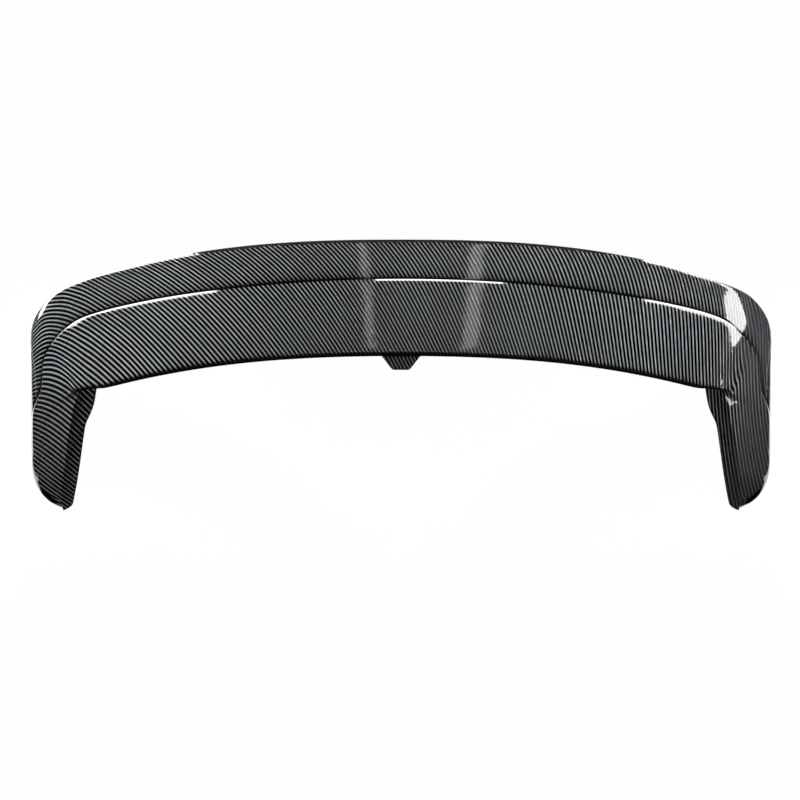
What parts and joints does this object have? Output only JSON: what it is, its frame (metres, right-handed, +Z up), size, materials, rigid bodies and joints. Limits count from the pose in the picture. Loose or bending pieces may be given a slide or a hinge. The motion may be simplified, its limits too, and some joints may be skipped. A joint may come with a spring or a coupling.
{
  "type": "roof spoiler",
  "caption": "One-piece hollow roof spoiler: a wing over the rear window with a raised rear edge, legs down both sides and flat bonding lands.",
  "frame": {"origin": "centre of the flat bonding land on the mounting side of the blade, at mid span", "axes": "+X across the car to its right, +Y towards the front of the car, +Z up, as the spoiler sits on the tailgate"},
  "size_m": [1.1794, 0.267, 0.3935],
  "materials": {
    "lacquered_plastic": "high-gloss clear lacquer over a dark grey and black twill-patterned film"
  },
  "bodies": {
    "root": {"spoiler_body": "lacquered_plastic"}
  },
  "joints": []
}
